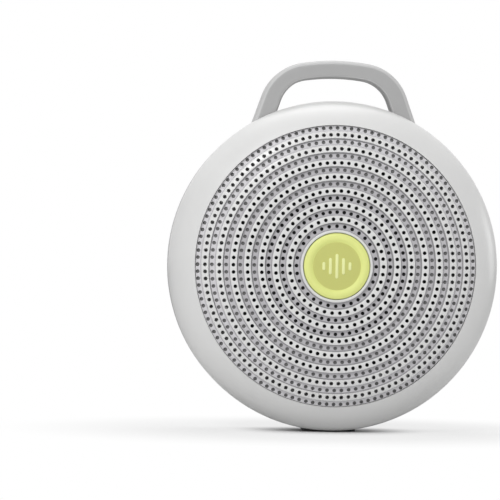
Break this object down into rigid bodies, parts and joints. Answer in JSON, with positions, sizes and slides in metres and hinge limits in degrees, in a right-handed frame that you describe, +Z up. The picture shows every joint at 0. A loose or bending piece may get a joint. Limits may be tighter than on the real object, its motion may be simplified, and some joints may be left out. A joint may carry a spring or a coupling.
{
  "type": "white noise sound machine",
  "caption": "Small round sound machine: domed ridged grille with rings of fine holes, smooth rim, lime press button in the middle, rigid carrying loop on top, stands on its edge.",
  "frame": {"origin": "bottom centre of the machine, on the surface that its foot stands on", "axes": "+Z up through the carrying loop, the grille faces -Y, +X to the right seen from the front"},
  "size_m": [0.089, 0.038, 0.1004],
  "materials": {
    "grille_plastic": "fine satin",
    "rim_plastic": "fine satin",
    "shell_plastic": "fine satin",
    "lime_plastic": "satin gloss",
    "black_cloth": "woven",
    "green_board": "solder mask",
    "brown_board": "plain",
    "black_plastic": "matt",
    "socket_plastic": "matt",
    "clear_plastic": "clear",
    "steel": "plated",
    "pressed_steel": "black coated",
    "magnet_nickel": "nickel plated",
    "copper": "enamelled winding",
    "aluminium_can": "bright",
    "battery_foil": "satin foil",
    "black_rubber": "matt",
    "foam": "open foam",
    "cone_paper": "pressed paper",
    "spider_cloth": "resin-dipped cloth",
    "red_lead": "insulated wire",
    "black_lead": "insulated wire",
    "white_lead": "insulated wire"
  },
  "bodies": {
    "machine": {"grille": "grille_plastic", "grille_cloth": "black_cloth", "front_housing": "rim_plastic", "rear_housing": "shell_plastic", "button_board": "green_board", "power_switch": "black_plastic", "button_board_screws": "steel", "driver_gasket": "foam", "driver_basket": "pressed_steel", "driver_surround": "black_rubber", "driver_cone": "cone_paper", "driver_dust_cap": "cone_paper", "driver_spider": "spider_cloth", "driver_voice_coil": "copper", "driver_top_plate": "pressed_steel", "driver_magnet": "magnet_nickel", "driver_yoke": "pressed_steel", "driver_terminals": "brown_board", "driver_screws": "steel", "main_board": "green_board", "main_board_screws": "steel", "charging_socket": "steel", "charge_light": "clear_plastic", "controller_chip": "black_plastic", "amplifier_chip": "black_plastic", "capacitors": "aluminium_can", "lead_sockets": "socket_plastic", "volume_switches": "black_plastic", "battery": "battery_foil", "battery_tape": "foam", "speaker_lead_red": "red_lead", "speaker_lead_black": "black_lead", "battery_lead_red": "red_lead", "battery_lead_black": "black_lead", "button_leads": "white_lead", "housing_screws": "steel", "back_pad": "black_rubber", "base_foot": "black_rubber"},
    "power_key": {"power_button": "lime_plastic", "power_switch_plunger": "black_plastic"},
    "volume_up_key": {"volume_up_button": "shell_plastic", "volume_up_plunger": "black_plastic"},
    "volume_down_key": {"volume_down_button": "shell_plastic", "volume_down_plunger": "black_plastic"}
  },
  "joints": [
    {"name": "power_press", "type": "slide", "parent": "machine", "child": "power_key", "axis": [0, 1, 0], "range_m": [0, 0.0006], "stiffness_N_per_m": 800, "springref_m": -0.0005},
    {"name": "volume_up_press", "type": "slide", "parent": "machine", "child": "volume_up_key", "axis": [-1, 0, 0], "range_m": [0, 0.0005], "stiffness_N_per_m": 800, "springref_m": -0.0005},
    {"name": "volume_down_press", "type": "slide", "parent": "machine", "child": "volume_down_key", "axis": [-1, 0, 0], "range_m": [0, 0.0005], "stiffness_N_per_m": 800, "springref_m": -0.0005}
  ]
}
